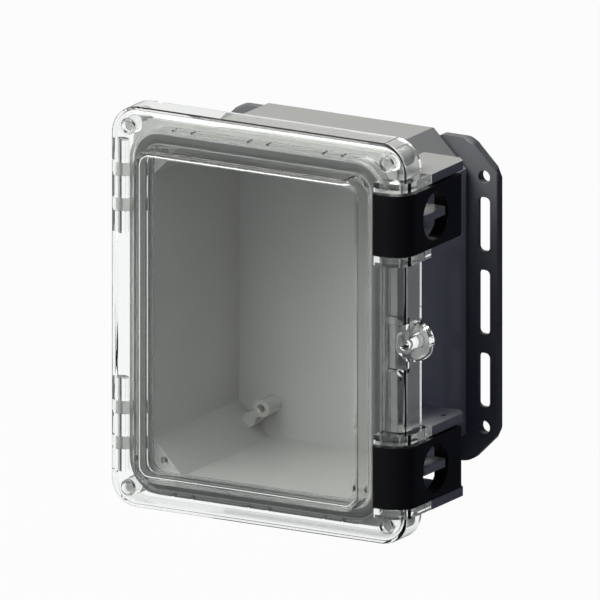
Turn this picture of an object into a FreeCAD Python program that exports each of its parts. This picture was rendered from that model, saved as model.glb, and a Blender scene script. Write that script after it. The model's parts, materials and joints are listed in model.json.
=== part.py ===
import FreeCAD, Part
import math
import os
import re
import Sketcher

# Hinged wall-mount enclosure with a clear cover, two side latches and mounting brackets.
# The origin is the centre of the wall plane: +X is the latch side, +Z is up and the cover faces -Y.
# Every depth is a distance from the wall plane towards the cover.

SIZES = {
    # Moulded base
    "bracket_depth": 6.0,
    "cavity_width": 150.4,
    "cavity_height": 200.0,
    "cavity_depth": 100.8,
    "cavity_draft": 0.7,
    "side_wall": 3.0,
    "back_wall": 4.0,
    "corner_cut": 22.4,
    "back_round": 5.0,
    "rim_overhang": 10.0,
    "rim_thick": 3.6,
    "rim_corner": 14.0,
    "tongue_thick": 2.4,
    "corner_post_radius": 5.6,
    "corner_post_long": 12.0,
    "corner_post_bore": 1.8,
    # Clear cover
    "cover_side_reach": 11.1,
    "cover_end_reach": 8.2,
    "cover_rise": 11.1,
    "cover_wall": 3.0,
    "cover_corner": 17.0,
    "skirt_depth": 21.7,
    "window_rise": 13.6,
    "window_margin": 0.4,
    "window_corner": 10.0,
    "window_edge_round": 2.4,
    "groove_span": 10.4,
    "groove_rib": 2.2,
    "groove_lip": 1.2,
    "gasket_thick": 3.6,
    "seat_gap": 0.3,
    "notch_wide": 1.4,
    "notch_pair": 12.8,
    "notch_pitch": 51.1,
    "screw_recess_radius": 3.3,
    "screw_recess_depth": 4.0,
    "screw_ring_radius": 5.0,
    "screw_in_side": 12.3,
    "screw_in_end": 11.9,
    # Hinge
    "hinge_radius": 5.4,
    "hinge_pin_radius": 1.5,
    "hinge_wrap": 1.6,
    "hinge_middle": 72.5,
    "hinge_pitch": 21.5,
    "cover_knuckle_long": 13.5,
    "base_knuckle_long": 7.6,
    "running_gap": 0.08,
    # Latches
    "latch_middle": 76.8,
    "latch_height": 37.4,
    "latch_wall": 8.0,
    "latch_side_gap": 0.7,
    "latch_front_gap": 5.0,
    "latch_round": 14.1,
    "latch_hook_end": 14.1,
    "latch_rear_depth": 68.4,
    "latch_pivot_depth": 74.0,
    "latch_pivot_in": 8.7,
    "latch_barrel": 5.6,
    "latch_pin_radius": 2.0,
    "finger_hole_radius": 14.8,
    "finger_hole_depth": 98.5,
    "plate_thick": 5.6,
    "plate_gap": 1.0,
    "plate_reach": 6.8,
    "plate_rear_depth": 58.2,
    "plate_rear_cut": 5.0,
    "guide_thick": 4.8,
    "guide_reach": 7.6,
    "guide_rear_depth": 84.0,
    "guide_front_depth": 110.0,
    "guide_round": 2.0,
    "cheek_front_step": 2.0,
    "cheek_round": 12.5,
    "cheek_end": 13.6,
    # Padlock lug
    "lug_in": 3.3,
    "lug_radius": 12.2,
    "lug_face_radius": 5.4,
    "lug_front_drop": 6.9,
    "lug_dome_long": 9.0,
    "lug_notch_half": 13.7,
    "lug_notch_in": 11.0,
    "padlock_radius": 3.3,
    "hasp_tab_thick": 3.5,
    "hasp_tab_half": 8.0,
    "hasp_tab_round": 7.8,
    # Panel bosses inside
    "panel_boss_side": 51.9,
    "panel_boss_end": 79.1,
    "panel_boss_radius": 5.3,
    "panel_boss_long": 14.7,
    "panel_lobe_side": 10.4,
    "panel_lobe_end": 8.7,
    "panel_lobe_radius": 4.4,
    "panel_lobe_long": 11.5,
    "panel_web": 5.0,
    "insert_wall": 0.9,
    "insert_groove_deep": 0.45,
    "insert_groove_wide": 1.6,
    "panel_insert_bore": 2.3,
    "panel_insert_long": 9.5,
    "swing_boss_radius": 5.0,
    "swing_boss_long": 12.0,
    "swing_boss_drop": 2.2,
    "swing_boss_out": 2.4,
    "swing_insert_bore": 1.6,
    "swing_insert_long": 7.0,
    # Wall brackets
    "bracket_reach": 18.9,
    "bracket_height": 196.6,
    "bracket_inner": 57.0,
    "bracket_cut": 18.8,
    "bracket_wall": 3.0,
    "bracket_inner_round": 3.0,
    "bracket_edge_round": 1.0,
    "bolt_inset": 9.0,
    "bolt_spacing": 152.4,
    "bolt_radius": 3.97,
    "slot_mid_long": 39.2,
    "slot_end_long": 33.0,
    "slot_end_middle": 47.4,
    "slot_round": 3.0,
    "bolt_collar": 2.6,
    "bracket_screw_in": 10.0,
    "bracket_screw_end": 62.0,
    "bracket_screw_radius": 2.0,
    "bracket_screw_long": 5.6,
    "bracket_screw_head": 3.8,
    "bracket_screw_head_thick": 2.2,
    "bracket_screw_socket": 1.45,
    "bracket_screw_socket_deep": 1.3,
}

doc = FreeCAD.newDocument("hinged_enclosure")
sheet = doc.addObject("Spreadsheet::Sheet", "Sizes")
for row, (alias, size) in enumerate(SIZES.items(), start=1):
    sheet.set(f"A{row}", alias)
    sheet.set(f"B{row}", str(size))
    sheet.setAlias(f"B{row}", alias)
doc.recompute()

# Places worked out once from the driving sizes, as text for the expressions
FLOOR = "(bracket_depth + back_wall)"
RIM = f"({FLOOR} + cavity_depth)"
RIM_BACK = f"({RIM} - rim_thick)"
CAVITY_X = "(cavity_width / 2)"
CAVITY_Z = "(cavity_height / 2)"
MOUTH_X = f"({CAVITY_X} + cavity_draft)"
MOUTH_Z = f"({CAVITY_Z} + cavity_draft)"
BASE_X = f"({MOUTH_X} + side_wall)"
BASE_Z = f"({MOUTH_Z} + side_wall)"
CAVITY_CUT = f"(corner_cut - side_wall * {2 - math.sqrt(2):.4f})"
RIM_X = f"({BASE_X} + rim_overhang)"
RIM_Z = f"({BASE_Z} + rim_overhang)"
COVER_X = f"({RIM_X} + cover_side_reach)"
COVER_Z = f"({RIM_Z} + cover_end_reach)"
COVER_FRONT = f"({RIM} + cover_rise)"
COVER_INNER = f"({COVER_FRONT} - cover_wall)"
SKIRT_BACK = f"({COVER_FRONT} - skirt_depth)"
WINDOW_X = f"({MOUTH_X} + window_margin)"
WINDOW_Z = f"({MOUTH_Z} + window_margin)"
WINDOW_FRONT = f"({COVER_FRONT} + window_rise)"
GROOVE_X = f"({WINDOW_X} + groove_span)"
GROOVE_Z = f"({WINDOW_Z} + groove_span)"
GROOVE_BACK = f"({RIM} + groove_lip)"
GASKET_BACK = f"({COVER_INNER} - gasket_thick)"
TONGUE_MID = "((groove_span - groove_rib) / 2)"
HINGE_X = f"(-{COVER_X} + hinge_radius)"
HINGE_DEPTH = f"({COVER_FRONT} - hinge_radius)"
SCREW_X = f"({COVER_X} - screw_in_side)"
SCREW_Z = f"({COVER_Z} - screw_in_end)"
LATCH_X = f"({COVER_X} + latch_side_gap + latch_wall)"
LATCH_FRONT = f"({COVER_FRONT} + latch_front_gap + latch_wall)"
LATCH_ROUND_X = f"({LATCH_X} - latch_round)"
LATCH_END_X = f"({COVER_X} - latch_hook_end)"
PIVOT_X = f"({LATCH_X} - latch_pivot_in)"
PLATE_X = f"({COVER_X} + plate_reach)"
PLATE_FRONT = f"({SKIRT_BACK} - seat_gap)"
BAY_HALF = "(latch_height / 2 + plate_gap)"
CHEEK_FRONT = f"({LATCH_FRONT} - cheek_front_step)"
LUG_X = f"({COVER_X} - lug_in)"
LUG_FRONT = f"({COVER_FRONT} - lug_front_drop)"
BRACKET_X = f"({CAVITY_X} + side_wall + bracket_reach)"
BRACKET_Z = "(bracket_height / 2)"
BOLT_X = f"({BRACKET_X} - bolt_inset)"
BRACKET_SCREW_X = f"(bracket_inner + bracket_screw_in)"
SWING_X = f"({MOUTH_X} - {CAVITY_CUT} / 2 + swing_boss_out)"
SWING_Z = f"({MOUTH_Z} - {CAVITY_CUT} / 2 + swing_boss_out)"
CORNERS = ((-1, 1), (1, 1), (-1, -1), (1, -1))
SAME = 1e-6


def cells(text):
    """The expression with each size pointing at its cell."""
    return re.sub(r"\b[a-z][a-z_]*\b(?!\()", lambda word: f"Sizes.{word[0]}", str(text))


def value(text):
    """The number that an expression has now, in millimetres."""
    return float(sheet.evalExpression(cells(text)))


def new_body(label):
    body = doc.addObject("PartDesign::Body", label)
    body.Label = label
    return body


def new_sketch(body, role, offset):
    """A sketch on one of the body's origin planes, moved along its normal."""
    support = next(part for part in body.Origin.OriginFeatures if part.Role == role)
    sketch = body.newObject("Sketcher::SketchObject", "Sketch")
    sketch.AttachmentSupport = [(support, "")]
    sketch.MapMode = "FlatFace"
    sketch.setExpression("AttachmentOffset.Base.z", cells(offset))
    return sketch


def bind(sketch, kind, *places):
    """A constraint whose last value is held to the sheet."""
    number = sketch.addConstraint(Sketcher.Constraint(kind, *places[:-1], value(places[-1])))
    sketch.setExpression(f"Constraints[{number}]", cells(places[-1]))


def draw_outline(sketch, points):
    """A closed outline of straight edges through the points."""
    places = [FreeCAD.Vector(value(x), value(y), 0) for x, y in points]
    first = sketch.GeometryCount
    count = len(points)
    for index in range(count):
        sketch.addGeometry(Part.LineSegment(places[index], places[(index + 1) % count]))
    for index, (x, y) in enumerate(points):
        edge = first + index
        after = first + (index + 1) % count
        sketch.addConstraint(Sketcher.Constraint("Coincident", edge, 2, after, 1))
        bind(sketch, "DistanceX", -1, 1, edge, 1, x)
        bind(sketch, "DistanceY", -1, 1, edge, 1, y)


def draw_circle(sketch, x, y, radius):
    centre = FreeCAD.Vector(value(x), value(y), 0)
    circle = sketch.addGeometry(Part.Circle(centre, FreeCAD.Vector(0, 0, 1), value(radius)))
    bind(sketch, "Radius", circle, radius)
    bind(sketch, "DistanceX", -1, 1, circle, 3, x)
    bind(sketch, "DistanceY", -1, 1, circle, 3, y)


def draw_corners(body, depth, x, z, radius):
    """A sketch with one circle at the same place in each of the four corners."""
    sketch = new_sketch(body, "XZ_Plane", depth)
    for side, end in CORNERS:
        draw_circle(sketch, f"{side} * {x}", f"{end} * {z}", radius)
    return sketch


def draw_rounded(sketch, x, y, half_x, half_y, radius):
    """A rectangle with round corners, centred on a point."""
    middle_x, middle_y, r = value(x), value(y), value(radius)
    reach_x = value(half_x) - r
    reach_y = value(half_y) - r
    first = sketch.GeometryCount
    for turn in range(4):
        angle = turn * math.pi / 2
        ahead = (round(math.cos(angle)), round(math.sin(angle)))
        out = (ahead[1], -ahead[0])
        corner = (out[0] + ahead[0], out[1] + ahead[1])
        centre = FreeCAD.Vector(middle_x + corner[0] * reach_x, middle_y + corner[1] * reach_y, 0)
        before = (out[0] - ahead[0], out[1] - ahead[1])
        start = FreeCAD.Vector(middle_x + before[0] * reach_x, middle_y + before[1] * reach_y, 0)
        offset = FreeCAD.Vector(out[0] * r, out[1] * r, 0)
        sketch.addGeometry(Part.LineSegment(start + offset, centre + offset))
        circle = Part.Circle(centre, FreeCAD.Vector(0, 0, 1), r)
        sketch.addGeometry(Part.ArcOfCircle(circle, angle - math.pi / 2, angle))
    for index in range(8):
        edge, after = first + index, first + (index + 1) % 8
        sketch.addConstraint(Sketcher.Constraint("Tangent", edge, 2, after, 1))
    for turn in range(4):
        side = first + 2 * turn
        sketch.addConstraint(Sketcher.Constraint("Vertical" if turn % 2 else "Horizontal", side))
        if turn:
            sketch.addConstraint(Sketcher.Constraint("Equal", first + 1, side + 1))
    bind(sketch, "Radius", first + 1, radius)
    bind(sketch, "DistanceY", -1, 1, first, 1, f"{y} - {half_y}")
    bind(sketch, "DistanceX", -1, 1, first + 2, 1, f"{x} + {half_x}")
    bind(sketch, "DistanceY", -1, 1, first + 4, 1, f"{y} + {half_y}")
    bind(sketch, "DistanceX", -1, 1, first + 6, 1, f"{x} - {half_x}")


def octagon(half_x, half_z, cut):
    """Corner points of a rectangle with its four corners cut at 45 degrees."""
    points = []
    for side, end in ((1, -1), (1, 1), (-1, 1), (-1, -1)):
        near_end = (f"{side} * ({half_x} - {cut})", f"{end} * {half_z}")
        near_side = (f"{side} * {half_x}", f"{end} * ({half_z} - {cut})")
        points += [near_end, near_side] if side * end < 0 else [near_side, near_end]
    return points


def finish_feature(body, feature, grows):
    """Recompute and make sure that the feature added or removed material."""
    before = feature.BaseFeature.Shape.Volume if feature.BaseFeature else 0.0
    feature.Refine = False
    doc.recompute()
    after = feature.Shape.Volume
    if feature.Shape.isNull() or (after > before) != grows or abs(after - before) < SAME:
        raise RuntimeError(f"{body.Label}: {feature.Name} changed nothing, {before:.2f} to {after:.2f}")
    body.Tip = feature
    return feature


def pad(body, sketch, length):
    """Material along the sketch's normal."""
    feature = body.newObject("PartDesign::Pad", "Pad")
    feature.Profile = sketch
    feature.setExpression("Length", cells(length))
    return finish_feature(body, feature, True)


def pocket(body, sketch, length):
    """A cut along the sketch's normal."""
    feature = body.newObject("PartDesign::Pocket", "Pocket")
    feature.Profile = sketch
    feature.setExpression("Length", cells(length))
    feature.Reversed = True
    return finish_feature(body, feature, False)


def round_edges(body, radius, wanted):
    """Round the edges of the body's last shape that the test picks."""
    base = body.Tip
    base.Refine = True
    doc.recompute()
    names = [f"Edge{number}" for number, edge in enumerate(base.Shape.Edges, 1) if wanted(edge)]
    feature = body.newObject("PartDesign::Fillet", "Fillet")
    feature.Base = (base, names)
    feature.setExpression("Radius", cells(radius))
    before = base.Shape.Volume
    doc.recompute()
    if not names or abs(feature.Shape.Volume - before) < SAME:
        raise RuntimeError(f"{body.Label}: no edge was rounded")
    body.Tip = feature
    return feature


def near(first, second):
    return abs(first - second) < 0.01


def loft(body, kind, near_outline, near_depth, far_outline, far_depth):
    """A tapered solid or cut between two outlines that face the cover."""
    profile = new_sketch(body, "XZ_Plane", near_depth)
    draw_outline(profile, near_outline)
    section = new_sketch(body, "XZ_Plane", far_depth)
    draw_outline(section, far_outline)
    feature = body.newObject(f"PartDesign::{kind}Loft", "Loft")
    feature.Profile = profile
    feature.Sections = [section]
    feature.Ruled = True
    return finish_feature(body, feature, kind == "Additive")


def upright_edge_at(x, depth, gap=0.02):
    """A test for vertical edges that stand at one place in plan."""
    place = (value(x), -value(depth))

    def wanted(edge):
        ends = [vertex.Point for vertex in edge.Vertexes]
        return (len(ends) == 2 and near(ends[0].x, ends[1].x) and near(ends[0].y, ends[1].y)
                and abs(ends[0].x - place[0]) < gap and abs(ends[0].y - place[1]) < gap)
    return wanted


def slab(body, outline, low, high, cut=False):
    """An outline seen from above, as X and depth, between two heights."""
    sketch = new_sketch(body, "XY_Plane", low)
    draw_outline(sketch, [(x, f"-{depth}") for x, depth in outline])
    feature = pocket if cut else pad
    return feature(body, sketch, f"{high} - {low}")


def build_base():
    """Moulded base: drafted tub, sealing rim, latch plates, hinge knuckles and bosses."""
    body = new_body("base")
    loft(body, "Additive",
         octagon(f"({CAVITY_X} + side_wall)", f"({CAVITY_Z} + side_wall)", "corner_cut"), "bracket_depth",
         octagon(BASE_X, BASE_Z, "corner_cut"), RIM)
    back = -value("bracket_depth")
    round_edges(body, "back_round", lambda edge: all(near(v.Y, back) for v in edge.Vertexes))

    rim = new_sketch(body, "XZ_Plane", RIM_BACK)
    draw_rounded(rim, "0", "0", RIM_X, RIM_Z, "rim_corner")
    pad(body, rim, "rim_thick")
    post_back = f"({RIM} - corner_post_long)"
    pad(body, draw_corners(body, post_back, SCREW_X, SCREW_Z, "corner_post_radius"), "corner_post_long")
    swing_top = f"({RIM} - swing_boss_drop)"
    swing = draw_corners(body, f"({swing_top} - swing_boss_long)", SWING_X, SWING_Z, "swing_boss_radius")
    pad(body, swing, "swing_boss_long")
    loft(body, "Subtractive",
         octagon(CAVITY_X, CAVITY_Z, CAVITY_CUT), FLOOR,
         octagon(MOUTH_X, MOUTH_Z, CAVITY_CUT), RIM)

    tongue = new_sketch(body, "XZ_Plane", RIM)
    middle_x = f"({WINDOW_X} + {TONGUE_MID})"
    middle_z = f"({WINDOW_Z} + {TONGUE_MID})"
    for side in (1, -1):
        shift = f"{side} * tongue_thick / 2"
        draw_rounded(tongue, "0", "0", f"({middle_x} + {shift})", f"({middle_z} + {shift})",
                     f"window_corner + {TONGUE_MID} + {shift}")
    pad(body, tongue, f"{GASKET_BACK} - seat_gap - {RIM}")

    # Latch plates above and below each latch, stepped back where the cover's skirt comes down
    wall_in = f"({BASE_X} - side_wall / 2)"
    skirt_inner = f"({COVER_X} - cover_wall - 2 * seat_gap)"
    plate = [
        (wall_in, "plate_rear_depth"),
        (f"({PLATE_X} - plate_rear_cut)", "plate_rear_depth"),
        (PLATE_X, "(plate_rear_depth + plate_rear_cut)"),
        (PLATE_X, PLATE_FRONT),
        (skirt_inner, PLATE_FRONT),
        (skirt_inner, f"({RIM} - rim_thick / 2)"),
        (wall_in, f"({RIM} - rim_thick / 2)"),
    ]
    for end in (1, -1):
        for low, high in (("latch_middle + {0}", "latch_middle + {0} + plate_thick"),
                          ("latch_middle - {0} - plate_thick", "latch_middle - {0}")):
            first, second = (f"({text.format(BAY_HALF)})" for text in (low, high))
            if end < 0:
                first, second = f"(-{second})", f"(-{first})"
            slab(body, plate, first, second)
        # A guide rib that comes out through the latch's finger hole
        middle = f"({end} * latch_middle)"
        guide_x = f"({COVER_X} + guide_reach)"
        guide = [(wall_in, "guide_rear_depth"), (guide_x, "guide_rear_depth"),
                 (guide_x, "guide_front_depth"), (wall_in, "guide_front_depth")]
        slab(body, guide, f"({middle} - guide_thick / 2)", f"({middle} + guide_thick / 2)")
        round_edges(body, "guide_round", lambda edge, height=value(middle): (
            upright_edge_at(guide_x, "guide_rear_depth")(edge)
            and abs(edge.CenterOfMass.z - height) < value("guide_thick")))
        first = f"(latch_middle - {BAY_HALF} - plate_thick)"
        second = f"(latch_middle + {BAY_HALF} + plate_thick / 2)"
        bore = new_sketch(body, "XY_Plane", first if end > 0 else f"(-{second})")
        draw_circle(bore, PIVOT_X, "-latch_pivot_depth", "latch_pin_radius")
        pocket(body, bore, f"{second} - {first}")

    # Hinge knuckles on short upstands at the rim's left edge
    tower_outer = f"(-{RIM_X})"
    tower_inner = f"(-{GROOVE_X} - groove_rib / 4)"
    for end in (1, -1):
        for step in (-0.5, 0.5):
            middle = f"({end} * (hinge_middle + {step} * hinge_pitch))"
            low = f"({middle} - base_knuckle_long / 2)"
            high = f"({middle} + base_knuckle_long / 2)"
            arm = [
                (tower_inner, f"({RIM} - rim_thick / 2)"),
                (tower_inner, f"({HINGE_DEPTH} + hinge_wrap)"),
                (HINGE_X, f"({HINGE_DEPTH} + hinge_wrap)"),
                (HINGE_X, f"({HINGE_DEPTH} - hinge_wrap)"),
                (tower_outer, f"({HINGE_DEPTH} - hinge_wrap)"),
                (tower_outer, f"({RIM} - rim_thick / 2)"),
            ]
            slab(body, arm, low, high)
            barrel = new_sketch(body, "XY_Plane", low)
            draw_circle(barrel, HINGE_X, f"-{HINGE_DEPTH}", "hinge_pin_radius + hinge_wrap")
            pad(body, barrel, "base_knuckle_long")
        pin_low = f"({end} * hinge_middle - hinge_pitch)"
        bore = new_sketch(body, "XY_Plane", pin_low)
        draw_circle(bore, HINGE_X, f"-{HINGE_DEPTH}", "hinge_pin_radius")
        pocket(body, bore, "2 * hinge_pitch")

    # Panel bosses on the back wall, each joined by a web to a second lobe nearer its corner
    root = f"({FLOOR} - back_wall / 2)"
    lobe_x = "(panel_boss_side + panel_lobe_side)"
    lobe_z = "(panel_boss_end + panel_lobe_end)"
    bosses = draw_corners(body, root, "panel_boss_side", "panel_boss_end", "panel_boss_radius")
    pad(body, bosses, "panel_boss_long + back_wall / 2")
    pad(body, draw_corners(body, root, lobe_x, lobe_z, "panel_lobe_radius"), "panel_lobe_long + back_wall / 2")
    length = "sqrt(panel_lobe_side ^ 2 + panel_lobe_end ^ 2)"
    across_x = f"(panel_web / 2 * panel_lobe_end / {length})"
    across_z = f"(panel_web / 2 * panel_lobe_side / {length})"
    webs = new_sketch(body, "XZ_Plane", root)
    for side, end in CORNERS:
        draw_outline(webs, [
            (f"{side} * (panel_boss_side - {across_x})", f"{end} * (panel_boss_end + {across_z})"),
            (f"{side} * (panel_boss_side + {across_x})", f"{end} * (panel_boss_end - {across_z})"),
            (f"{side} * ({lobe_x} + {across_x})", f"{end} * ({lobe_z} - {across_z})"),
            (f"{side} * ({lobe_x} - {across_x})", f"{end} * ({lobe_z} + {across_z})"),
        ])
    pad(body, webs, "panel_lobe_long + back_wall / 2")
    seat = f"({FLOOR} + panel_boss_long - panel_insert_long)"
    holes = draw_corners(body, seat, "panel_boss_side", "panel_boss_end", "panel_insert_bore + insert_wall")
    pocket(body, holes, "panel_insert_long")

    # Holes in the rim's corners for the inserts of a swing-out panel
    seat = f"({swing_top} - swing_insert_long)"
    holes = draw_corners(body, seat, SWING_X, SWING_Z, "swing_insert_bore + insert_wall")
    pocket(body, holes, "swing_insert_long + swing_boss_drop")

    # Blind holes for cover screws and for the bracket screws
    pilots = draw_corners(body, f"({post_back} + rim_thick / 2)", SCREW_X, SCREW_Z, "corner_post_bore")
    pocket(body, pilots, "corner_post_long")
    sockets = draw_corners(body, "bracket_depth", BRACKET_SCREW_X, "bracket_screw_end", "bracket_screw_radius")
    pocket(body, sockets, "(bracket_screw_long - bracket_wall + seat_gap)")

    # Hasp tab behind the cover's padlock lug
    tab = new_sketch(body, "XZ_Plane", f"({PLATE_FRONT} - hasp_tab_thick)")
    tab_end = f"({LUG_X} + hasp_tab_half)"
    draw_rounded(tab, f"({wall_in} / 2 + {tab_end} / 2)", "0", f"({tab_end} / 2 - {wall_in} / 2)",
                 "hasp_tab_half", "hasp_tab_round")
    pad(body, tab, "hasp_tab_thick")
    hole = new_sketch(body, "XZ_Plane", f"({PLATE_FRONT} - hasp_tab_thick)")
    draw_circle(hole, LUG_X, "0", "padlock_radius")
    pocket(body, hole, "hasp_tab_thick")
    return body


def build_cover():
    """Clear cover: skirted rim with a raised window, gasket groove, cheeks, lug and hinge knuckles."""
    body = new_body("cover")
    block = new_sketch(body, "XZ_Plane", SKIRT_BACK)
    draw_rounded(block, "0", "0", COVER_X, COVER_Z, "cover_corner")
    pad(body, block, "skirt_depth")
    front = -value(COVER_FRONT)
    round_edges(body, "hinge_radius", lambda edge: all(near(v.Y, front) for v in edge.Vertexes))
    plateau = new_sketch(body, "XZ_Plane", COVER_INNER)
    draw_rounded(plateau, "0", "0", WINDOW_X, WINDOW_Z, "window_corner")
    pad(body, plateau, f"{WINDOW_FRONT} - {COVER_INNER}")
    front = -value(WINDOW_FRONT)
    round_edges(body, "window_edge_round", lambda edge: all(near(v.Y, front) for v in edge.Vertexes))

    inside = new_sketch(body, "XZ_Plane", SKIRT_BACK)
    draw_rounded(inside, "0", "0", f"({COVER_X} - cover_wall)", f"({COVER_Z} - cover_wall)",
                 "cover_corner - cover_wall")
    pocket(body, inside, "skirt_depth - cover_wall")
    rib_long = f"{COVER_INNER} - {GROOVE_BACK}"
    for outer_x, outer_z, radius in ((GROOVE_X, GROOVE_Z, "window_corner + groove_span"),
                                     (WINDOW_X, WINDOW_Z, "window_corner")):
        rib = new_sketch(body, "XZ_Plane", GROOVE_BACK)
        draw_rounded(rib, "0", "0", outer_x, outer_z, radius)
        draw_rounded(rib, "0", "0", f"({outer_x} - groove_rib)", f"({outer_z} - groove_rib)",
                     f"{radius} - groove_rib")
        pad(body, rib, rib_long)
    hollow = new_sketch(body, "XZ_Plane", GROOVE_BACK)
    draw_rounded(hollow, "0", "0", f"({WINDOW_X} - cover_wall)", f"({WINDOW_Z} - cover_wall)",
                 "window_corner - cover_wall")
    pocket(body, hollow, f"{WINDOW_FRONT} - cover_wall - {GROOVE_BACK}")

    # The left wall stops short of the rim, so that it swings clear of the base
    clear_z = f"({SCREW_Z} + corner_post_radius + 2 * seat_gap)"
    left = [(f"(-{COVER_X} - seat_gap)", f"({SKIRT_BACK} - seat_gap)"),
            (f"(-{COVER_X} + screw_in_side - seat_gap)", f"({SKIRT_BACK} - seat_gap)"),
            (f"(-{COVER_X} + screw_in_side - seat_gap)", f"({HINGE_DEPTH} - hinge_wrap)"),
            (f"(-{COVER_X} - seat_gap)", f"({HINGE_DEPTH} - hinge_wrap)")]
    slab(body, left, f"(-{clear_z})", clear_z, cut=True)

    # Hinge knuckles, with room between them for the base's
    for end in (1, -1):
        for step in (-1, 0, 1):
            low = f"({end} * (hinge_middle + {step} * hinge_pitch) - cover_knuckle_long / 2)"
            barrel = new_sketch(body, "XY_Plane", low)
            draw_circle(barrel, HINGE_X, f"-{HINGE_DEPTH}", "hinge_radius")
            pad(body, barrel, "cover_knuckle_long")
        for step in (-0.5, 0.5):
            low = f"({end} * (hinge_middle + {step} * hinge_pitch) - hinge_pitch / 2 + cover_knuckle_long / 2)"
            relief = new_sketch(body, "XY_Plane", low)
            draw_circle(relief, HINGE_X, f"-{HINGE_DEPTH}", "hinge_pin_radius + hinge_wrap + seat_gap")
            pocket(body, relief, "hinge_pitch - cover_knuckle_long")
            wall = [(f"(-{COVER_X} - seat_gap)", f"({HINGE_DEPTH} - hinge_wrap - seat_gap)"),
                    (HINGE_X, f"({HINGE_DEPTH} - hinge_wrap - seat_gap)"),
                    (HINGE_X, f"({HINGE_DEPTH} + hinge_wrap)"),
                    (f"(-{COVER_X} - seat_gap)", f"({HINGE_DEPTH} + hinge_wrap)")]
            slab(body, wall, low, f"({low} + hinge_pitch - cover_knuckle_long)", cut=True)
        low = f"({end} * hinge_middle - hinge_pitch - cover_knuckle_long / 2)"
        bore = new_sketch(body, "XY_Plane", low)
        draw_circle(bore, HINGE_X, f"-{HINGE_DEPTH}", "hinge_pin_radius + running_gap")
        pocket(body, bore, "2 * hinge_pitch + cover_knuckle_long")

    # Latch bays: an open side, a pad that the hook bears on, and a cheek above and below
    for end in (1, -1):
        low = f"({end} * latch_middle - {BAY_HALF})"
        high = f"({end} * latch_middle + {BAY_HALF})"
        opening = [(f"({COVER_X} - 2 * cover_wall)", f"({SKIRT_BACK} - seat_gap)"),
                   (f"({COVER_X} + seat_gap)", f"({SKIRT_BACK} - seat_gap)"),
                   (f"({COVER_X} + seat_gap)", f"(guide_front_depth + 2 * seat_gap)"),
                   (f"({COVER_X} - 2 * cover_wall)", f"(guide_front_depth + 2 * seat_gap)")]
        slab(body, opening, low, high, cut=True)
        rest = [(f"({LATCH_END_X} + 2 * seat_gap)", COVER_INNER),
                (f"({LATCH_ROUND_X} - seat_gap)", COVER_INNER),
                (f"({LATCH_ROUND_X} - seat_gap)", f"({COVER_FRONT} + latch_front_gap - seat_gap)"),
                (f"({LATCH_END_X} + 2 * seat_gap)", f"({COVER_FRONT} + latch_front_gap - seat_gap)")]
        slab(body, rest, f"({low} + plate_gap)", f"({high} - plate_gap)")
        cheek = [(f"({COVER_X} - cheek_end)", f"({COVER_FRONT} - cover_wall / 2)"),
                 (f"({COVER_X} - cheek_end)", CHEEK_FRONT),
                 (f"({PLATE_X} - seat_gap)", CHEEK_FRONT),
                 (f"({PLATE_X} - seat_gap)", SKIRT_BACK),
                 (f"({COVER_X} - cover_wall / 2)", SKIRT_BACK),
                 (f"({COVER_X} - cover_wall / 2)", f"({COVER_FRONT} - cover_wall / 2)")]
        for start, stop in ((high, f"({high} + plate_thick)"), (f"({low} - plate_thick)", low)):
            slab(body, cheek, start, stop)
            round_edges(body, "cheek_round", lambda edge, height=value(f"({start} + {stop}) / 2"): (
                upright_edge_at(f"{PLATE_X} - seat_gap", CHEEK_FRONT)(edge)
                and abs(edge.CenterOfMass.z - height) < value("plate_thick")))

    # Padlock lug in a notch of the rim
    notch = new_sketch(body, "XZ_Plane", LUG_FRONT)
    draw_outline(notch, [(f"({COVER_X} - lug_notch_in)", "-lug_notch_half"),
                         (f"({COVER_X} + seat_gap)", "-lug_notch_half"),
                         (f"({COVER_X} + seat_gap)", "lug_notch_half"),
                         (f"({COVER_X} - lug_notch_in)", "lug_notch_half")])
    pocket(body, notch, "lug_front_drop + seat_gap")
    floor = new_sketch(body, "XZ_Plane", f"({LUG_FRONT} - cover_wall)")
    draw_rounded(floor, f"({COVER_X} - lug_notch_in / 2 - cover_wall / 2)", "0",
                 "(lug_notch_in / 2 + cover_wall / 2)", "(lug_notch_half + cover_wall)", "cover_wall / 2")
    pad(body, floor, "cover_wall")
    back = new_sketch(body, "XZ_Plane", SKIRT_BACK)
    draw_circle(back, LUG_X, "0", "lug_radius")
    pad(body, back, f"{LUG_FRONT} - lug_dome_long - {SKIRT_BACK}")
    dome_back = new_sketch(body, "XZ_Plane", f"({LUG_FRONT} - lug_dome_long)")
    draw_circle(dome_back, LUG_X, "0", "lug_radius")
    dome_front = new_sketch(body, "XZ_Plane", LUG_FRONT)
    draw_circle(dome_front, LUG_X, "0", "lug_face_radius")
    dome = body.newObject("PartDesign::AdditiveLoft", "Loft")
    dome.Profile = dome_back
    dome.Sections = [dome_front]
    finish_feature(body, dome, True)
    lug_inner = f"({RIM_X} + 4 * seat_gap)"
    inside = [(f"({LUG_X} - lug_radius - seat_gap)", f"({SKIRT_BACK} - seat_gap)"),
              (lug_inner, f"({SKIRT_BACK} - seat_gap)"),
              (lug_inner, f"({LUG_FRONT} - cover_wall)"),
              (f"({LUG_X} - lug_radius - seat_gap)", f"({LUG_FRONT} - cover_wall)")]
    slab(body, inside, "(-lug_radius)", "lug_radius", cut=True)
    bore = new_sketch(body, "XZ_Plane", SKIRT_BACK)
    draw_circle(bore, LUG_X, "0", "padlock_radius")
    pocket(body, bore, f"{LUG_FRONT} - {SKIRT_BACK} + seat_gap")

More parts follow.
